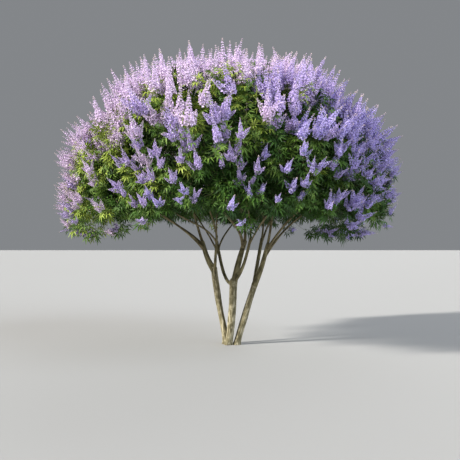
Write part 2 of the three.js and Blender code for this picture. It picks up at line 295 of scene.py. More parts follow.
def bark_finish(name, tones, roughness=BARK_ROUGHNESS):
    """Bark: noise drawn out along the grain runs from the furrow's tone to the light
    one, patches of the light tone lie over it, and the drawn-out noise raises a bump."""
    material, nodes, link, surface = nodes_of(name)
    grain = nodes.new("ShaderNodeAttribute")
    grain.attribute_name = "grain"
    drawn_out = with_inputs(nodes.new("ShaderNodeMapping"), Scale=DRAWN_OUT)
    link(grain.outputs["Vector"], drawn_out.inputs["Vector"])
    streaks = with_inputs(nodes.new("ShaderNodeTexNoise"), **STREAKS)
    link(drawn_out.outputs["Vector"], streaks.inputs["Vector"])
    colours = ramp(nodes, STREAK_STOPS, tones)
    link(streaks.outputs["Fac"], colours.inputs["Fac"])

    patches = with_inputs(nodes.new("ShaderNodeTexNoise"), **PATCHES)
    link(grain.outputs["Vector"], patches.inputs["Vector"])
    spread = ramp(nodes, PATCH_STOPS, [(0, 0, 0), (PATCH_MOST, PATCH_MOST, PATCH_MOST)])
    link(patches.outputs["Fac"], spread.inputs["Fac"])
    blend = nodes.new("ShaderNodeMix")
    blend.data_type = "RGBA"
    link(spread.outputs["Color"], blend.inputs["Factor"])
    link(colours.outputs["Color"], blend.inputs[6])
    blend.inputs[7].default_value = (*tones[-1], 1)
    link(blend.outputs[2], surface.inputs["Base Color"])

    bump = with_inputs(nodes.new("ShaderNodeBump"), **BARK_BUMP)
    link(streaks.outputs["Fac"], bump.inputs["Height"])
    link(bump.outputs["Normal"], surface.inputs["Normal"])
    with_inputs(surface, Roughness=roughness)
    return material


stem_bark = bark_finish("stem_bark", STEM_TONES)
stem_dice = np.random.default_rng(3)
stem_paths = {}
for name, plan in STEMS.items():
    foot, sets_off, head = (np.array(plan[key], float) for key in ("foot", "sets_off", "head"))
    path = limb_path(foot - BURIED * sets_off, unit(sets_off), head, unit(plan["arrives"]))
    stem_paths[name] = path
    thick, thin = plan["girth"]
    ground = np.searchsorted(path[:, 2], 0) / (PATH_POINTS - 1)
    above = path[path[:, 2] > 0]
    first = above[0] - (above[1] - above[0]) * above[0, 2] / (above[1, 2] - above[0, 2])
    above = np.concatenate([[first], above])
    length = length_of(above)

    def radius(share):
        """The straight taper times one plus the flare, which fades with height."""
        taper = thick + (thin - thick) * (ground + (1 - ground) * share)
        return taper * (1 + FLARE["swell"] * np.exp(-share * length / FLARE["height"]))

    corners, faces, grain = bark_limb(above, radius, stem_dice, **STEM_RELIEF, level_foot=True)
    piece = mesh_piece(f"stem_{name}_bark", corners, faces, stem_bark, grain=grain)
    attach(piece, "root")
    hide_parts(f"stem_{name}")


# Boughs
# Seven boughs leave the stems at their forks, each thickest in the collar where it
# springs, and thin out as they rise into the crown. Their bark is browner and smoother,
# and darker than the stems' bark as painted shade under the crown.

BOUGHS = {
    "middle_main": {
        "stem": "middle", "leaves": 0.95, "bend": -0.15, "head": (0.262, 0.010, 1.652),
        "girth": (0.051, 0.037), "carries": ["top", "outer_8"],
    },
    "middle_back": {
        "stem": "middle", "leaves": 0.955, "bend": 0.8, "head": (-0.203, 0.560, 1.655),
        "girth": (0.029, 0.023), "carries": ["upper_2", "outer_3", "outer_4"],
    },
    "middle_front": {
        "stem": "middle", "leaves": 0.975, "bend": 0.5, "head": (0.340, -0.300, 1.690),
        "girth": (0.029, 0.022), "carries": ["upper_5", "outer_9"],
    },
    "left_long": {
        "stem": "left", "leaves": 0.98, "bend": 0.4, "head": (-0.440, 0.300, 1.650),
        "girth": (0.046, 0.034), "carries": ["upper_3", "outer_5", "outer_6"],
    },
    "left_inner": {
        "stem": "left", "leaves": 0.94, "bend": 0.1, "head": (-0.190, -0.110, 1.740),
        "girth": (0.024, 0.019), "carries": ["upper_4", "outer_7"],
    },
    "right_outer": {
        "stem": "right", "leaves": 0.98, "bend": 0.3, "head": (0.618, -0.150, 1.600),
        "girth": (0.041, 0.032), "carries": ["upper_6", "outer_10", "outer_1"],
    },
    "right_inner": {
        "stem": "right", "leaves": 0.93, "bend": -0.1, "head": (0.546, 0.220, 1.700),
        "girth": (0.032, 0.025), "carries": ["upper_1", "outer_2"],
    },
}
BOUGH_RELIEF = {"sides": 36, "spacing": 0.012, "depth": 0.06, "collar": 0.3}
# Painted shade: these tones are darker than the stems' because the crown shades the boughs.
BOUGH_SHADED_TONES = [(0.040, 0.033, 0.013), (0.115, 0.098, 0.042), (0.27, 0.235, 0.12)]


def spot_on(path, share):
    """The point at a share of a path's length, and the direction of the path there."""
    ticks = np.linspace(0, 1, len(path))
    slopes = np.gradient(path, axis=0)
    point = np.array([np.interp(share, ticks, axis) for axis in path.T])
    slope = np.array([np.interp(share, ticks, axis) for axis in slopes.T])
    return point, unit(slope)


bough_bark_shaded = bark_finish("bough_bark_shaded", BOUGH_SHADED_TONES)
bough_dice = np.random.default_rng(5)
bough_paths = {}
for name, plan in BOUGHS.items():
    start, _ = spot_on(stem_paths[plan["stem"]], plan["leaves"])
    head = np.array(plan["head"])
    rise = unit(head - start)
    path = limb_path(start, unit(rise - plan["bend"] * UP), head, unit(rise + plan["bend"] * UP))
    bough_paths[name] = path
    thick, thin = plan["girth"]
    corners, faces, grain = bark_limb(
        path, lambda share: thick + (thin - thick) * share, bough_dice, **BOUGH_RELIEF
    )
    piece = mesh_piece(f"bough_{name}_bark", corners, faces, bough_bark_shaded, grain=grain)
    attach(piece, "root")
    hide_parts(f"bough_{name}")


# Limbs
# From each bough one limb runs on from the tip and others leave its side, one to each
# mass of foliage. Inside the mass the limb goes on as a stalk, thinning to its heart.

CROWN = {"across": 2.770, "deep": 2.660, "waist": 2.870, "rise": 1.790, "drop": 1.150}
DOME_POWER = 2
UNDERSIDE_POWER = 6
CROWN_ROOT = np.array([0, 0, 1.300])
TIERS = [
    {"name": "outer", "count": 10, "radius": 1.850, "height": 2.540, "turn": 12, "wave": 0.060},
    {"name": "upper", "count": 6, "radius": 1.260, "height": 3.450, "turn": 40, "wave": 0.030},
    {"name": "top", "count": 1, "radius": 0, "height": 3.640, "turn": 0, "wave": 0},
]
ENTRY = 0.600
LAST_LIMB = 0.97
LIMB_SPACING = 0.13
LIMB_GIRTH = {"share": 0.66, "least": 0.015, "tip": 0.010}
SIDEWAYS = 1.6
ONWARD = 0.5
STALK_TIP = 0.006
LIMB_RELIEF = {"sides": 16, "spacing": 0.030, "depth": 0.05, "collar": 0.35}
# Painted shade: the limbs' bark tones are darker than the stems' because the crown shades them.
LIMB_SHADED_TONES = [(0.048, 0.036, 0.016), (0.135, 0.108, 0.048), (0.28, 0.235, 0.125)]

hearts = {}
for tier in TIERS:
    for i in range(tier["count"]):
        turn = math.radians(tier["turn"] + 360 / tier["count"] * i)
        lift = tier["wave"] * (1 if i % 2 else -1)
        name = f"{tier['name']}_{i + 1}" if tier["count"] > 1 else tier["name"]
        level = [tier["radius"] * math.cos(turn), tier["radius"] * math.sin(turn)]
        hearts[name] = np.array([*level, tier["height"] + lift])
outward_of = {name: unit(heart - CROWN_ROOT) for name, heart in hearts.items()}

limb_bark_shaded = bark_finish("limb_bark_shaded", LIMB_SHADED_TONES)
limb_dice = np.random.default_rng(7)
limb_parts = []
for bough, plan in BOUGHS.items():
    thick, thin = plan["girth"]
    for order, mass in enumerate(plan["carries"]):
        leaves = LAST_LIMB - order * LIMB_SPACING
        start, along = spot_on(bough_paths[bough], leaves)
        entry = hearts[mass] - ENTRY * outward_of[mass]
        away = unit(along + unit(entry - start) * (SIDEWAYS if order else ONWARD))
        path = limb_path(start, away, entry, outward_of[mass])
        girth = max(LIMB_GIRTH["least"], LIMB_GIRTH["share"] * (thick + (thin - thick) * leaves))
        length = length_of(path)
        whole = evenly(np.concatenate([path, [hearts[mass]]]), PATH_POINTS)
        stops = [0, length / (length + ENTRY), 1]
        girths = [girth, LIMB_GIRTH["tip"], STALK_TIP]
        corners, faces, grain = bark_limb(
            whole, lambda share: np.interp(share, stops, girths), limb_dice, **LIMB_RELIEF
        )
        limb_parts.append((corners, faces, grain, f"limb_{mass}"))


def joined(parts):
    """Several meshes as one: corners end to end, and faces moved up by the corners that
    came before them."""
    sizes = np.cumsum([0] + [len(part[0]) for part in parts[:-1]])
    corners = np.concatenate([part[0] for part in parts])
    faces = np.concatenate([part[1] + shift for part, shift in zip(parts, sizes)])
    return corners, faces


corners, faces = joined(limb_parts)
grain = np.concatenate([part[2] for part in limb_parts])
limbs = mesh_piece("limbs_bark", corners, faces, limb_bark_shaded, grain=grain)
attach(limbs, "root")
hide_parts(*[part[3] for part in limb_parts])


# Branches and twigs
# Each mass forks from its stalk into nine branches, and each branch into twigs. Every
# twig ends in a shoot at the crown's surface or a little inside it.

MASS_GAP = 0.014
MASS_SIZE = 1.300
RIM = 0.060
HALVINGS = 24
SHELLS = [
    {"depth": 0.0, "spacing": 0.160, "tries": 1700, "within": False},
    {"depth": 0.28, "spacing": 0.23, "tries": 700, "within": False},
    {"depth": 0.56, "spacing": 0.36, "tries": 400, "within": False},
    {"depth": 0.01, "spacing": 0.36, "tries": 300, "within": True},
]
WIDER_BELOW = 0.35
FACES_UP = {"top_from": 0.1, "top_over": 0.5, "under": -0.2, "flat": -0.45}
LOWER_EDGE = {"front": 1.87, "backward": 0.02, "from_y": -1.5, "clear_within": 0.30}
DIPS = [
    {"at": (-2.25, -0.4), "half": (0.45, 1.00), "drop": 0.13},
    {"at": (-1.05, -1.9), "half": (0.26, 0.45), "drop": 0.09},
    {"at": (1.74, -1.4), "half": (0.30, 0.60), "drop": 0.24},
    {"at": (2.10, 1.2), "half": (0.40, 0.60), "drop": 0.10},
]
GOLDEN_ANGLE = math.pi * (3 - math.sqrt(5))
heart_array = np.array(list(hearts.values()))
mass_names = list(hearts)


def crown_level(points):
    """How far out points lie: below one inside the crown and above it outside. The level
    and upright shares of the way out are each raised to a power and added."""
    out = np.hypot(points[..., 0] / CROWN["across"], points[..., 1] / CROWN["deep"])
    rise = points[..., 2] - CROWN["waist"]
    over = rise > 0
    up = np.abs(rise) / np.where(over, CROWN["rise"], CROWN["drop"])
    power = np.where(over, DOME_POWER, UNDERSIDE_POWER)
    return out**power + up**power


def crown_normal(points):
    """The direction straight out of the crown: how fast its level grows along each axis,
    from small steps both ways."""
    step = 0.002
    slopes = [
        crown_level(points + step * axis) - crown_level(points - step * axis)
        for axis in np.eye(3)
    ]
    return unit(np.stack(slopes, -1))


def reach_of(mass, directions):
    """How far a mass may grow from its heart each way, and whether that is the crown's
    surface. The distance is the least of its size, the planes half way to the other
    hearts, and the surface, which is found by halving."""
    heart = heart_array[mass]
    others = np.delete(heart_array, mass, 0) - heart
    apart = np.linalg.norm(others, axis=1)
    towards = directions @ (others / apart[:, None]).T
    planes = np.where(
        towards > 0, (apart - MASS_GAP) / 2 / np.maximum(towards, 1e-9), MASS_SIZE
    )
    far = np.minimum(planes.min(1), MASS_SIZE)
    near, beyond = np.zeros(len(directions)), np.full(len(directions), 2 * MASS_SIZE)
    for _ in range(HALVINGS):
        middle = (near + beyond) / 2
        inside = crown_level(heart + middle[:, None] * directions) < 1
        near = np.where(inside, middle, near)
        beyond = np.where(inside, beyond, middle)
    return np.minimum(far, near), near < far + RIM


def golden_directions(count, turn):
    """Directions spread evenly over a ball: heights in equal steps, each one turned by
    the golden angle from the last."""
    k = np.arange(count)
    height = 1 - (2 * k + 1) / count
    out = np.sqrt(1 - height**2)
    angle = turn + k * GOLDEN_ANGLE
    return np.stack([out * np.cos(angle), out * np.sin(angle), height], 1)


def spaced(points, spacing, dice):
    """The places kept when each point in a shuffled order is dropped if it lies nearer
    than its spacing to one already kept."""
    kept, places = [], np.empty((0, 3))
    for i in dice.permutation(len(points)):
        gap = ((places - points[i]) ** 2).sum(1)
        if not len(gap) or gap.min() > spacing[i] ** 2:
            kept.append(i)
            places = np.concatenate([places, points[i : i + 1]])
    return np.array(kept)


def away_from(place, points):
    """How far points of two coordinates lie from the middle of a place, where one is the
    ellipse of its half sizes."""
    return np.hypot(*((points - place["at"]) / place["half"]).T)


twig_dice = np.random.default_rng(11)
kept_tips = []
for shell in SHELLS:
    spots, owners = [], []
    for mass, heart in enumerate(heart_array):
        directions = golden_directions(shell["tries"], twig_dice.uniform(0, TURN))
        far, shows = reach_of(mass, directions)
        wanted = shows != shell["within"]
        spots.append((heart + far[:, None] * directions)[wanted])
        owners.append(np.full(wanted.sum(), mass))
    spots, owners = np.concatenate(spots), np.concatenate(owners)
    below = np.clip(-crown_normal(spots)[:, 2], 0, 1)
    kept = spaced(spots, shell["spacing"] * (1 + WIDER_BELOW * below), twig_dice)
    depth, within = (np.full(len(kept), shell[key]) for key in ("depth", "within"))
    kept_tips.append((spots[kept], owners[kept], depth, within))
tips, tip_mass, tip_depth, tip_within = (np.concatenate(each) for each in zip(*kept_tips))
tip_out = crown_normal(tips)
dips = sum(dip["drop"] * np.exp(-away_from(dip, tips[:, :2]) ** 2) for dip in DIPS)
lower_edge = (
    LOWER_EDGE["front"] + LOWER_EDGE["backward"] * (tips[:, 1] - LOWER_EDGE["from_y"]) - dips
)
stays = np.where(
    tip_within, tips[:, 2] > lower_edge + LOWER_EDGE["clear_within"],
    (tip_out[:, 2] < FACES_UP["flat"]) | (tips[:, 2] > lower_edge),
)
tips, tip_mass, tip_depth = tips[stays], tip_mass[stays], tip_depth[stays]
tip_out, lower_edge, dips = tip_out[stays], lower_edge[stays], dips[stays]
tips[:, 2] = np.maximum(tips[:, 2], lower_edge)
tip_x, tip_y, tip_z = tips.T
tip_count = len(tips)

# A shoot may end in a flower spike. The chance of one, the spike's length and lean, and
# how far the shoot stands out of the crown follow from its place, seen from the front.

CHANCE = {
    "low": 0.60, "high": 0.88, "flank": 0.60, "right": 0.15, "left": 0.08, "top": 0.93,
    "top_left": 0.14, "gap": 0.74, "hangs": 0.60, "hangs_behind": 0.3, "rim": 0.5, "edge": 0.04,
}
HIGH = {"from": 2.1, "over": 1.2}
SIDE_OVER = 1.2
FLANK_POWER = 8
GAPS = {"from": 0.3, "steep": 2.5, "front": 0.55, "less_on_top": 0.7, "out": 0.10}
PLACE_EDGE = {"steep": 2.5, "ends": 1.2}
BAYS = [
    {"at": (-0.05, 3.72), "half": (0.46, 0.42), "out": 0.02, "share": 1.0},
    {"at": (-1.02, 3.70), "half": (0.42, 0.26), "out": 0.18, "share": 0.7},
    {"at": (-1.68, 3.16), "half": (0.34, 0.36), "out": 0.14, "share": 0.8},
    {"at": (-2.15, 2.60), "half": (0.20, 0.30), "out": 0.05, "share": 1.0},
    {"at": (1.30, 3.58), "half": (0.26, 0.30), "out": 0.12, "share": 0.9},
    {"at": (0.62, 2.98), "half": (0.24, 0.13), "out": 0.05, "share": 1.0},
]
BAY_TILT = 0.17
BUNCHES = [
    {"at": (1.72, 2.10), "half": (0.34, 0.24), "more": 0.90},
    {"at": (-0.95, 2.04), "half": (0.42, 0.16), "more": 0.55},
    {"at": (-2.50, 2.30), "half": (0.26, 0.42), "more": 0.50},
    {"at": (1.95, 2.42), "half": (0.50, 0.34), "more": 0.30},
    {"at": (0.95, 2.24), "half": (0.50, 0.22), "more": 0.35},
]
SHOULDERS = [
    {"at": (-2.40, 3.75), "half": (0.80, 0.60), "in": 0.26},
    {"at": (2.40, 3.85), "half": (0.80, 0.50), "in": 0.16},
]
HANG_FROM = 0.025
BLOOM = {
    "length": (0.28, 0.38), "more_on_top": 0.10, "low_share": 0.64, "varies": 0.36,
    "bunched": 0.45, "flat": 0.8,
}
SPIKE_LIFT = {"flank": 0.35, "face": 0.75, "under": 0.5, "flat": 0.2}
SPIKE_FAN = 0.25
SPIKE_VARIES = 0.25
SPIKE_OUT = {
    "stands": (-0.20, 0.07), "wave": 0.09, "less_on_top": 0.6, "top": 0.05, "under": 0.85,
    "hangs": 0.45, "lower": 0.05,
}
BLOOM_LIMIT = {"out": 0.045, "up": 0.05}
LEAFY_DEPTH = (0.22, 0.36)
OUTERMOST = 0.04
UNDER_DEPTH = {
    "least": 0.02, "wave": 0.16, "middle": 0.06, "middle_within": 1.65, "leafy_share": 0.25,
    "arch": 0.28, "arch_within": 1.5,
}
SHOOT_OUT = {"under": 0.35, "hangs": 1.3, "varies": 0.12}


def gone_of(values, start, over):
    """The share of a stretch that values have gone, held from nothing to one."""
    return np.clip((values - start) / over, 0, 1)


def share_in(place):
    """How much each tip has of a place on the crown's front: one well inside its ellipse,
    falling evenly to nothing a little outside, and nothing behind."""
    away = away_from(place, tips[:, ::2])
    edge = np.clip(PLACE_EDGE["steep"] * (PLACE_EDGE["ends"] - away), 0, 1)
    return np.where(behind, 0, edge)


def past_limit(points):
    """How far out points lie in plan, where one is the ellipse of the solids' half sizes
    made a little larger."""
    half = np.array(cad_box[1][:2]) + BLOOM_LIMIT["out"]
    return np.hypot(*(points[:, :2] / half).T)


faces_up = tip_out[:, 2]
under, flat = faces_up < FACES_UP["under"], faces_up < FACES_UP["flat"]
hangs = dips > HANG_FROM
behind = tip_y > 0
on_top = gone_of(faces_up, FACES_UP["top_from"], FACES_UP["top_over"])
on_top = on_top * on_top * (3 - 2 * on_top)
height = gone_of(tip_z, HIGH["from"], HIGH["over"])
flank = np.abs(tip_x / CROWN["across"]) ** FLANK_POWER
off_middle = np.hypot(tip_x, tip_y)

side_chance = (
    CHANCE["low"] + (CHANCE["high"] - CHANCE["low"]) * height + CHANCE["flank"] * flank
    - CHANCE["right"] * gone_of(tip_x, 0, SIDE_OVER)
    - CHANCE["left"] * gone_of(-tip_x, 0, SIDE_OVER)
)
top_chance = CHANCE["top"] - CHANCE["top_left"] * gone_of(-tip_x, 0, 1)
bloom_chance = side_chance + (top_chance - side_chance) * on_top
# Waves of a few radians to the metre, one bent by another, make uneven leafy gaps.
uneven = (
    np.sin(5.1 * tip_x + 2.3 + np.sin(2 * tip_z)) * np.sin(5.6 * tip_y + 0.4)
    + 0.7 * np.sin(6.3 * tip_z + 2.2 * tip_x + 1.1)
)
gap = (
    np.where(behind, 1, GAPS["front"]) * np.clip(GAPS["steep"] * (uneven - GAPS["from"]), 0, 1)
    * (1 - GAPS["less_on_top"] * on_top)
)
stands_out = GAPS["out"] * gap
lit_from_above = np.zeros(tip_count)
for bay in BAYS:
    here = share_in(bay) * bay["share"]
    gap = np.maximum(gap, here)
    up_in_bay = here * np.clip((tip_z - bay["at"][1]) / bay["half"][1], -1, 1)
    stands_out = stands_out + bay["out"] * here + BAY_TILT * up_in_bay
    lit_from_above += up_in_bay
bunched = sum(bunch["more"] * share_in(bunch) for bunch in BUNCHES)
bloom_chance = bloom_chance - CHANCE["gap"] * gap + bunched
rim_chance = CHANCE["rim"] * flank + CHANCE["edge"]
hanging_chance = np.where(behind, CHANCE["hangs_behind"], CHANCE["hangs"])
under_chance = np.where(hangs, hanging_chance, rim_chance) + bunched
bloom_chance = np.where(under, under_chance, bloom_chance)
in_middle = off_middle < UNDER_DEPTH["middle_within"]
bare_middle = flat & (~hangs | in_middle)
bloom_chance = np.where(bare_middle, np.where(in_middle, 0, CHANCE["edge"]), bloom_chance)
blooms = (twig_dice.random(tip_count) < bloom_chance) & (tip_depth == 0)
bloom_length = (
    twig_dice.uniform(*BLOOM["length"], tip_count) + BLOOM["more_on_top"] * on_top
) * (BLOOM["low_share"] + (1 - BLOOM["low_share"]) * height)
bloom_length *= 1 - BLOOM["varies"] * (1 - height) * twig_dice.random(tip_count)
bloom_length *= 1 + BLOOM["bunched"] * bunched

level_out = unit(tips * [1, 1, 0] + [0, 0, 1e-9])
wobble = twig_dice.normal(0, SPIKE_VARIES, (tip_count, 3))
lift = SPIKE_LIFT["flank"] + SPIKE_LIFT["face"] * np.abs(tip_out[:, 1:2])
under_lift = np.where(flat, SPIKE_LIFT["flat"], SPIKE_LIFT["under"])[:, None]
fanned = SPIKE_FAN * tips * [1 / CROWN["across"], 0, 0]
spike_axis = unit(
    np.where(
        under[:, None],
        level_out + under_lift * UP + wobble,
        tip_out + lift * UP + fanned + wobble,
    )
)
# Slow waves round and across the crown swell it a little here and draw it in there.
bearing = np.arctan2(tip_y, tip_x)
swell = np.sin(4 * bearing + 2 * tip_z) * np.sin(3.1 * tip_x + 2.6 * tip_z)
stands = (
    twig_dice.uniform(*SPIKE_OUT["stands"], tip_count)
    + SPIKE_OUT["wave"] * swell * (1 - SPIKE_OUT["less_on_top"] * on_top)
    + SPIKE_OUT["top"] * on_top
)
drawn_in = sum(
    shoulder["in"] * np.exp(-away_from(shoulder, tips[:, ::2]) ** 2) for shoulder in SHOULDERS
)
spike_tip = tips + (stands - drawn_in)[:, None] * tip_out
bloom_length = np.where(flat & ~hangs, BLOOM["flat"], 1) * bloom_length
back_in = np.where(hangs, SPIKE_OUT["hangs"], SPIKE_OUT["under"]) * bloom_length
rim_tip = (
    tips - back_in[:, None] * level_out + bloom_length[:, None] * spike_axis
    - np.where(flat, SPIKE_OUT["lower"], 0)[:, None] * UP
)
spike_tip = np.where(under[:, None], rim_tip, spike_tip)
spike_tip[:, :2] /= np.maximum(past_limit(spike_tip), 1)[:, None]
spike_tip[:, 2] = np.minimum(spike_tip[:, 2], cad_box[1][2] + BLOOM_LIMIT["up"])
spike_root = spike_tip - bloom_length[:, None] * spike_axis
# Three waves round the tree, of 3, 7 and 17 crests, make its lower edge uneven.
ragged = (
    0.5 + 0.25 * np.sin(3 * bearing + 0.8) + 0.15 * np.sin(7 * bearing + 2.5)
    + 0.1 * np.sin(17 * bearing)
)
arch = np.clip(1 - off_middle / UNDER_DEPTH["arch_within"], 0, 1)
under_depth = UNDER_DEPTH["least"] + UNDER_DEPTH["wave"] * ragged + UNDER_DEPTH["arch"] * arch
under_depth = under_depth + UNDER_DEPTH["middle"] * in_middle
leafy_depth = twig_dice.uniform(*LEAFY_DEPTH, tip_count)
leafy_depth = np.maximum(leafy_depth - stands_out, OUTERMOST) + drawn_in
bare = tip_depth + np.where(
    flat, under_depth + UNDER_DEPTH["leafy_share"] * leafy_depth, leafy_depth
)
shoot_end = np.where(blooms[:, None], spike_root, tips - bare[:, None] * tip_out)
outwards = np.where(hangs, SHOOT_OUT["hangs"], SHOOT_OUT["under"])[:, None]
shoot_axis = np.where(
    (under & ~blooms)[:, None], level_out + outwards * tip_out + wobble, spike_axis
)
shoot_axis = unit(shoot_axis + twig_dice.normal(0, SHOOT_OUT["varies"], (tip_count, 3)))

# The branches and twigs themselves are thin tubes on cubic curves.

BRANCH = {
    "count": 9, "reach": 0.55, "outward": 0.25, "first_fork": 0.3, "pull": 0.4, "points": 10,
}
BRANCH_TAPER = {"thick": 0.0065, "thin": 0.0035, "sides": 4}
TWIG = {"springs": (4, 10), "leaves": 0.30, "arrives": 0.45, "points": 10}
TWIG_TAPER = {"thick": 0.0032, "thin": 0.0018, "sides": 3}
TWIG_TONES = [(0.05, 0.05, 0.02), (0.13, 0.13, 0.05), (0.24, 0.23, 0.11)]
TWIG_ROUGHNESS = 0.8


def curves(starts, away, ends, into, points):
    """Cubic curves whose inner handles lie away from their starts and short of their
    ends, by these steps."""
    return cubic(np.stack([starts, starts + away, ends - into, ends], 1), points)


def thin_tubes(paths, thick, thin, sides):
    """Plain tubes that thin evenly from point to point."""
    radii = np.linspace(thick, thin, paths.shape[1])[None, :, None]
    return tubes(paths, np.broadcast_to(radii, (*paths.shape[:2], sides)))


branch_paths = []
for mass, name in enumerate(mass_names):
    heart, outward = heart_array[mass], outward_of[name]
    directions = golden_directions(BRANCH["count"], twig_dice.uniform(0, TURN))
    directions = unit(directions + BRANCH["outward"] * outward)
    far, _ = reach_of(mass, directions)
    fork = twig_dice.permutation(np.linspace(BRANCH["first_fork"], 1.0, BRANCH["count"]))
    starts = heart - (1 - fork)[:, None] * ENTRY * outward
    knees = heart + (BRANCH["reach"] * far)[:, None] * directions
    away = unit(directions + outward)
    pull = BRANCH["pull"] * np.linalg.norm(knees - starts, axis=1, keepdims=True)
    branch_paths.append(curves(starts, pull * away, knees, pull * directions, BRANCH["points"]))
branch_paths = np.concatenate(branch_paths)
branch_mass = np.repeat(np.arange(len(mass_names)), BRANCH["count"])

off_heart = unit(shoot_end - heart_array[tip_mass])
knee_way = unit(branch_paths[:, -1] - heart_array[branch_mass])
nearness = off_heart @ knee_way.T
nearness[tip_mass[:, None] != branch_mass[None]] = -np.inf
chosen = nearness.argmax(1)
sprung = twig_dice.integers(*TWIG["springs"], tip_count)
twig_start = branch_paths[chosen, sprung]
branch_way = unit(branch_paths[chosen, sprung] - branch_paths[chosen, sprung - 1])
twig_run = np.linalg.norm(shoot_end - twig_start, axis=1, keepdims=True)
twig_paths = curves(
    twig_start, TWIG["leaves"] * twig_run * branch_way,
    shoot_end, TWIG["arrives"] * twig_run * shoot_axis, TWIG["points"],
)

corners, faces = joined(
    [thin_tubes(branch_paths, **BRANCH_TAPER), thin_tubes(twig_paths, **TWIG_TAPER)]
)
twig_bark = bark_finish("twig_bark", TWIG_TONES, TWIG_ROUGHNESS)
twigs = mesh_piece("twigs", corners, faces, twig_bark, grain=corners)
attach(twigs, "root")


# Leaves
# Opposite pairs stand along every shoot, each pair square to the last. A leaf is a hand of
# five narrow pointed leaflets on a thin stalk, folded a little along their midribs.

LEAFLETS = [(-75, 0.58), (-36, 0.88), (0, 1.0), (36, 0.88), (75, 0.58)]
LEAFLET = {
    "width": 0.20, "fold": 0.045, "droop": 0.24, "widest": 0.42, "midrib": 0.45, "clear": 0.06,
}
FOLDED_BLADE = np.array([[0, 2, 3], [3, 2, 4], [0, 3, 1], [3, 4, 1]])
FLAT_BLADE = np.array([[0, 2, 1], [1, 2, 4]])
LEAF_STRIP = {"half_width": 0.012, "back": 0.3, "front": 0.08}
LEAST_GONE = 0.001
PAIRS = {"count": 5, "first": 0.012, "spacing": 0.062, "varies": 0.03, "on_spike": 0.05}
GROWN = {"youngest": 0.55, "each": 0.2}
LEAF_LENGTH = (0.115, 0.160)
INNER_LONGER = 1.25
STALK = {"length": 0.05, "across": 0.85, "along": 0.45, "up": 0.15}
BLADE = {"across": 0.85, "along": 0.35, "down": 0.22, "out": 0.25, "varies": 0.16}
FACING = {"up": 0.80, "out": 0.45, "varies": 0.42}
# Painted sunlight and shade: four tints of one leaf, from sunlit yellow-green through to shaded
# deep green.
LEAF_TINTS = {
    "leaves_sunlit": [(0.175, 0.245, 0.029), (0.305, 0.380, 0.060)],
    "leaves_lit_mid": [(0.073, 0.143, 0.015), (0.130, 0.215, 0.033)],
    "leaves_half_shaded": [(0.033, 0.088, 0.009), (0.062, 0.134, 0.017)],
    "leaves_shaded": [(0.013, 0.044, 0.004), (0.030, 0.078, 0.008)],
}
SUNNY = {
    "usual": 0.44, "left": 0.36, "faces_up": 0.28, "gap": 0.08, "in_bay": 0.32, "inner": 0.6,
    "varies": 0.18,
}
SUNNY_STEPS = np.array([0.72, 0.49, 0.25])
TONE_STOPS = (0.38, 0.62)
TONE_DETAIL = 2
SOFT_GLOSS = {"Specular IOR Level": 0.25}
LEAF_FINISH = {"scale": 5, "roughness": 0.55}


def leaf_template(folded):
    """Corners and faces of a leaf of length one: each leaflet is a pointed blade, of four
    triangles folded about its midrib or, deep in the crown, of two flat ones, turned about
    the hub by its own angle, and the stalk is a narrow strip behind the hub."""
    corners, faces = [], []
    half = LEAFLET["width"] / 2
    for order, (degrees, size) in enumerate(LEAFLETS):
        blade = size * np.array(
            [
                [0, LEAFLET["clear"] / size, 0],
                [-half, LEAFLET["widest"], LEAFLET["fold"]],
                [half, LEAFLET["widest"], LEAFLET["fold"]],
                [0, LEAFLET["midrib"], 0],
                [0, 1, -LEAFLET["droop"]],
            ]
        )
        a = math.radians(degrees)
        spin = np.array(
            [[math.cos(a), -math.sin(a), 0], [math.sin(a), math.cos(a), 0], [0, 0, 1]]
        )
        corners.append(blade @ spin)
        faces.append(5 * order + (FOLDED_BLADE if folded else FLAT_BLADE))
    aside, back, front = LEAF_STRIP["half_width"], -LEAF_STRIP["back"], LEAF_STRIP["front"]
    corners.append([[-aside, back, 0], [aside, back, 0], [aside, front, 0], [-aside, front, 0]])
    faces.append(5 * len(LEAFLETS) + np.array([[0, 1, 2], [0, 2, 3]]))
    return np.concatenate(corners), np.concatenate(faces)


def placed(template, faces, origin, frames, size):
    """One copy of a template for each origin: its corners times the size, turned into
    the frame's three directions, and moved to the origin."""
    turned = np.einsum("mvi,mij->mvj", template * size[:, None, None], frames)
    return as_one(turned + origin[:, None], faces)


def along_path(paths, back):
    """Points and directions at distances back from each path's end, found between the
    path's own points by length."""
    steps = np.linalg.norm(np.diff(paths, axis=1), axis=2)
    gone = np.concatenate([np.zeros((len(paths), 1)), np.cumsum(steps, 1)], 1)
    wanted = np.clip(gone[:, -1:] - back, LEAST_GONE, None)
    after = np.clip((gone[:, None] < wanted[..., None]).sum(-1), 1, paths.shape[1] - 1)
    row = np.arange(len(paths))[:, None]
    low, high = gone[row, after - 1], gone[row, after]
    share = ((wanted - low) / (high - low))[..., None]
    points = paths[row, after - 1] * (1 - share) + paths[row, after] * share
    return points, unit(paths[row, after] - paths[row, after - 1])


def tinted_finish(name, tones, scale, roughness):
    """A leaf's or petal's colour, which drifts between two close tones with fine noise
    through space, and a soft low gloss."""
    material, nodes, link, surface = nodes_of(name)
    place = nodes.new("ShaderNodeTexCoord")
    drift = with_inputs(nodes.new("ShaderNodeTexNoise"), Scale=scale, Detail=TONE_DETAIL)
    link(place.outputs["Object"], drift.inputs["Vector"])
    colours = ramp(nodes, TONE_STOPS, tones)
    link(drift.outputs["Fac"], colours.inputs["Fac"])
    link(colours.outputs["Color"], surface.inputs["Base Color"])
    with_inputs(surface, Roughness=roughness, **SOFT_GLOSS)
    return material


def soft_piece(name, corners, faces, material, slot):
    """A flat-shaded piece that stands, with its like, for every mass of foliage."""
    piece = mesh_piece(name, corners, faces, material, smooth=False)
    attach(piece, "root")
    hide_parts(*[f"foliage_{mass}" for mass in mass_names])


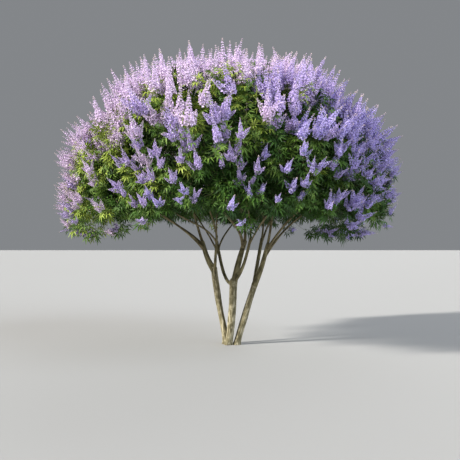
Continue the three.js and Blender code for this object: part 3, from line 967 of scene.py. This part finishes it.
leaf_dice = np.random.default_rng(21)
pairs = PAIRS["count"]
back = PAIRS["first"] + PAIRS["spacing"] * np.arange(pairs)
back = back + leaf_dice.uniform(0, PAIRS["varies"], (tip_count, pairs))
node, node_way = along_path(twig_paths, back)
node = node + np.where(blooms, PAIRS["on_spike"], 0)[:, None, None] * node_way
first = unit(np.cross(node_way, leaf_dice.normal(0, 1, (tip_count, 1, 3))))
second = np.cross(node_way, first)
even = (np.arange(pairs) % 2 == 0)[None, :, None]
across = np.where(even, first, second)
across = np.stack([across, -across], 2).reshape(-1, 3)
node, node_way = np.repeat(node, 2, 1).reshape(-1, 3), np.repeat(node_way, 2, 1).reshape(-1, 3)
grown = np.clip(GROWN["youngest"] + GROWN["each"] * np.arange(pairs), 0, 1)
grown = np.tile(np.repeat(grown, 2), tip_count)
leaf_shoot = np.repeat(np.arange(tip_count), 2 * pairs)
count = len(node)
leaf_inner = tip_depth[leaf_shoot] > 0
leaf_out = np.where(under[:, None], level_out, tip_out)[leaf_shoot]
leaf_length = leaf_dice.uniform(*LEAF_LENGTH, count) * grown
leaf_length = leaf_length * np.where(leaf_inner, INNER_LONGER, 1)
stalk_way = unit(STALK["across"] * across + STALK["along"] * node_way + STALK["up"] * UP)
hub = node + (STALK["length"] * grown)[:, None] * stalk_way
blade_way = unit(
    BLADE["across"] * across + BLADE["along"] * node_way - BLADE["down"] * UP
    + BLADE["out"] * leaf_out + leaf_dice.normal(0, BLADE["varies"], (count, 3))
)
facing = (
    FACING["up"] * UP + FACING["out"] * leaf_out
    + leaf_dice.normal(0, FACING["varies"], (count, 3))
)
facing = unit(facing - (facing * blade_way).sum(1, keepdims=True) * blade_way)
leaf_frames = np.stack([np.cross(blade_way, facing), blade_way, facing], 1)

# Painted light: a shoot's leaves take a lighter tint towards the left, where the key light comes
# from, on upward faces, in high leafy gaps and at the tops of bays, and a darker one in the
# inner shells, with some chance.
sunny = (
    SUNNY["usual"] + SUNNY["left"] * np.clip(-tip_x, -1, None) / CROWN["across"]
    + SUNNY["faces_up"] * faces_up + SUNNY["gap"] * gap * height
    + SUNNY["in_bay"] * lit_from_above - SUNNY["inner"] * (tip_depth > 0)
    + leaf_dice.normal(0, SUNNY["varies"], tip_count)
)
leaf_tint = np.digitize(-sunny, -SUNNY_STEPS)[leaf_shoot]
for tint, (name, tones) in enumerate(LEAF_TINTS.items()):
    finish = tinted_finish(name, tones, **LEAF_FINISH)
    for suffix, inner in [("", False), ("_inner", True)]:
        mine = (leaf_tint == tint) & (leaf_inner == inner)
        made = placed(*leaf_template(folded=not inner), hub[mine], leaf_frames[mine],
                      leaf_length[mine])
        soft_piece(name + suffix, *made, finish, "foliage")


# Blossom
# A shoot in flower ends in a tall spike, with up to four shorter ones spread below it.
# Each is a stalk ringed by whorls of small two-lipped flowers, with pale buds at its tip.

SPIKES = {
    "tall": {"length": 0.37, "radius": 0.056, "bare": 0.02, "whorls": 12, "around": 13},
    "short": {"length": 0.20, "radius": 0.038, "bare": 0.26, "whorls": 7, "around": 11},
}
VARIANTS = 6
WHORL = {
    "first": 0.3, "closing": 1.25, "fullness": 0.74, "varies": (0.82, 1.15), "least": 0.004,
    "turn": 0.9,
}
BUD_SHARE = 0.10
FLOWER = {
    "aside": 0.2, "up": 0.30, "varies": 0.16, "higher": 0.20, "stands": (0.45, 0.85),
    "rise": 0.4, "petal": 0.42, "least": 0.0048,
}
LIPS = [(0.9, 1, 0.55), (0.9, -1, 0.55), (0.7, 0.7, -0.9), (0.7, -0.7, -0.9)]
LIP_FACES = np.array([[0, 1, 2], [0, 4, 3]])
SIDE_SPIKES = {
    "bearings": np.array([0, math.pi, 1.6, 4.7]), "varies": 0.25, "lean": (32, 56),
    "lift": 0.3, "sits": (-0.06, 0.03), "chances": np.array([0.95, 0.92, 0.75, 0.55]),
    "fewer": 0.42, "fewer_facing_up": 0.5, "fewer_on_flank": 0.35, "length": (0.52, 0.80),
    "limit": 1.01,
}
# Pale, lavender and violet tints: partly the flowers' own colours, partly painted sunlight and
# shade by where they are dealt out.
BLOSSOM_TINTS = {
    "blossom_pale": [(0.65, 0.51, 0.73), (0.79, 0.655, 0.83)],
    "blossom_lavender": [(0.47, 0.375, 0.67), (0.61, 0.50, 0.78)],
    "blossom_violet": [(0.45, 0.38, 0.73), (0.58, 0.50, 0.83)],
    "blossom_buds": [(0.48, 0.38, 0.53), (0.76, 0.64, 0.64)],
}
PALE = {"usual": 0.45, "high": 0.33, "left": 0.32, "varies": 0.06}
PALE_STEPS = np.array([0.60, 0.38])
PETAL_SCALE = 42
PETAL_ROUGHNESS = 0.75
BUD_ROUGHNESS = 0.8
FLOWER_STALK = {"thick": 0.0022, "thin": 0.0010, "sides": 3}
STALK_SPAN = (-0.02, 0.98)
FLOWER_STALK_TINTS = [(0.16, 0.19, 0.07), (0.27, 0.27, 0.13)]
FLOWER_STALK_FINISH = {"scale": 20, "roughness": 0.8}


def spike_template(length, radius, bare, whorls, around, dice):
    """The five corners of each flower on a spike along Z, and which are buds. A whorl's
    radius falls off with height by a power, its flowers stand round it in turn, and a
    flower's throat is followed by the two outer corners of each of its lips."""
    share = 1 - (1 - (np.arange(whorls) + WHORL["first"]) / whorls) ** WHORL["closing"]
    buds = np.repeat(share > 1 - BUD_SHARE, around)
    ring = radius * (1 - share) ** WHORL["fullness"] * dice.uniform(*WHORL["varies"], whorls)
    ring = np.maximum(ring, WHORL["least"])
    share = bare + (1 - bare) * share
    angle = np.arange(around) * TURN / around + np.arange(whorls)[:, None] * WHORL["turn"]
    angle = angle + dice.uniform(-FLOWER["aside"], FLOWER["aside"], (whorls, around))
    outward = np.stack([np.cos(angle), np.sin(angle), np.full_like(angle, FLOWER["up"])], -1)
    outward = unit(outward + dice.normal(0, FLOWER["varies"], outward.shape))
    higher = dice.uniform(-FLOWER["higher"], FLOWER["higher"], angle.shape)
    height = (share * length)[:, None] + higher * length / whorls
    stands = ring[:, None] * dice.uniform(*FLOWER["stands"], angle.shape)
    throat = outward * stands[..., None]
    throat[..., 2] = throat[..., 2] * FLOWER["rise"] + height
    size = np.maximum(FLOWER["petal"] * ring, FLOWER["least"])[:, None, None]
    roll = dice.uniform(0, TURN, angle.shape)
    level = unit(np.cross(outward, UP))
    steep = np.cross(level, outward)
    broad = swung(roll, level, steep)
    tall = np.cross(outward, broad)
    lips = [throat + size * (a * outward + b * broad + c * tall) for a, b, c in LIPS]
    return np.stack([throat, *lips], 2).reshape(-1, 5, 3), buds


def frames_on(axes, dice):
    """Three directions square to each other for each axis, the last along it, and the
    first turned at random about it."""
    first = unit(np.cross(axes, dice.normal(0, 1, axes.shape)))
    return np.stack([first, np.cross(axes, first), axes], 1)


bloom_dice = np.random.default_rng(31)
main = np.flatnonzero(blooms)
main_root, main_axis, main_length = shoot_end[main], spike_axis[main], bloom_length[main]
angle = bloom_dice.uniform(0, TURN, (len(main), 1)) + SIDE_SPIKES["bearings"]
angle = angle + bloom_dice.normal(0, SIDE_SPIKES["varies"], angle.shape)
lean = np.radians(bloom_dice.uniform(*SIDE_SPIKES["lean"], angle.shape))
main_frames = frames_on(main_axis, bloom_dice)
radial = swung(angle, main_frames[:, None, 0], main_frames[:, None, 1])
side_axis = unit(swung(lean, main_axis[:, None], radial) + SIDE_SPIKES["lift"] * UP)
sits = bloom_dice.uniform(*SIDE_SPIKES["sits"], angle.shape)
side_root = main_root[:, None] + sits[..., None] * main_axis[:, None]
crowded = (faces_up[main] > SIDE_SPIKES["fewer_facing_up"]) | (
    flank[main] > SIDE_SPIKES["fewer_on_flank"]
)
side_chances = np.where(crowded, SIDE_SPIKES["fewer"], 1)[:, None] * SIDE_SPIKES["chances"]
grows = bloom_dice.random(angle.shape) < side_chances
side_root, side_axis = side_root[grows], side_axis[grows]
side_of = np.broadcast_to(main[:, None], angle.shape)[grows]
side_length = bloom_dice.uniform(*SIDE_SPIKES["length"], len(side_root)) * bloom_length[side_of]
within = past_limit(side_root + side_length[:, None] * side_axis) < SIDE_SPIKES["limit"]
side_root, side_axis = side_root[within], side_axis[within]
side_of, side_length = side_of[within], side_length[within]

# Partly painted light: spikes high up and towards the left, where the light falls, take the
# paler tints, and those lower and to the right the violet, on top of the flowers' own spread of
# tints.
paleness_and_light = (
    PALE["usual"] + PALE["high"] * (tip_z - CROWN["waist"]) / CROWN["rise"]
    - PALE["left"] * tip_x / CROWN["across"] + bloom_dice.normal(0, PALE["varies"], tip_count)
)
bloom_tint = np.digitize(-paleness_and_light, -PALE_STEPS)

*petals, bud = BLOSSOM_TINTS
collected = {name: [] for name in BLOSSOM_TINTS}
for kind, root, axis, length, shoot in [
    ("tall", main_root, main_axis, main_length, main),
    ("short", side_root, side_axis, side_length, side_of),
]:
    frames = frames_on(axis, bloom_dice)
    size = length / SPIKES[kind]["length"]
    variant = bloom_dice.integers(0, VARIANTS, len(root))
    for v in range(VARIANTS):
        flowers, buds = spike_template(**SPIKES[kind], dice=bloom_dice)
        for is_bud in (False, True):
            template, template_faces = as_one(flowers[buds == is_bud], LIP_FACES)
            for tint, name in enumerate(petals):
                mine = (variant == v) & (bloom_tint[shoot] == tint)
                made = placed(template, template_faces, root[mine], frames[mine], size[mine])
                collected[bud if is_bud else name].append(made)

for name, parts in collected.items():
    roughness = BUD_ROUGHNESS if name == bud else PETAL_ROUGHNESS
    finish = tinted_finish(name, BLOSSOM_TINTS[name], PETAL_SCALE, roughness)
    soft_piece(name, *joined(parts), finish, "blossom")

stalk_root = np.concatenate([main_root, side_root])
stalk_run = (
    np.concatenate([main_length, side_length])[:, None]
    * np.concatenate([main_axis, side_axis])
)
stalk_paths = stalk_root[:, None] + np.linspace(*STALK_SPAN, 3)[:, None] * stalk_run[:, None]
corners, faces = thin_tubes(stalk_paths, **FLOWER_STALK)
stalk_finish = tinted_finish("flower_stalks", FLOWER_STALK_TINTS, **FLOWER_STALK_FINISH)
stalks = mesh_piece("flower_stalks", corners, faces, stalk_finish)
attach(stalks, "root")


# Floor and light
# A plain pale floor, one soft light fairly low on the left, weaker broad ones on the right
# and behind, and an even pale surround.

FLOOR_CORNERS = np.array([(-400, -400, 0), (400, -400, 0), (400, 400, 0), (-400, 400, 0)])
FLOOR_FACES = np.array([(0, 1, 2), (0, 2, 3)])
FLOOR_FINISH = {"Base Color": (0.34, 0.335, 0.328, 1), "Roughness": 0.9}
SURROUND = {"Color": (0.88, 0.92, 0.97, 1), "Strength": 0.26}
LIGHTS = {
    "key": {"way": (-10, -3.8, 4.8), "spread": 5, "strength": 7.8, "colour": (1.0, 0.97, 0.91)},
    "fill": {"way": (9, -5.0, 4.5), "spread": 60, "strength": 3.3, "colour": (0.80, 0.89, 1.0)},
    "back": {"way": (3, 9, 5), "spread": 60, "strength": 1.2, "colour": (0.95, 0.97, 1.0)},
}

floor_material, _, _, floor_surface = nodes_of("floor")
with_inputs(floor_surface, **FLOOR_FINISH)
floor = mesh_piece("floor", FLOOR_CORNERS, FLOOR_FACES, floor_material, smooth=False)

for name, plan in LIGHTS.items():
    light = bpy.data.lights.new(name, "SUN")
    light.angle = math.radians(plan["spread"])
    light.energy = plan["strength"]
    light.color = plan["colour"]
    lamp = bpy.data.objects.new(name, light)
    x, y, z = plan["way"]
    lamp.rotation_euler = (math.atan2(math.hypot(x, y), z), 0, math.atan2(y, x) + math.pi / 2)
    scene.collection.objects.link(lamp)

world = bpy.data.worlds.new("surround")
world.use_nodes = True
with_inputs(world.node_tree.nodes["Background"], **SURROUND)
scene.world = world
scene.view_settings.view_transform = "Standard"
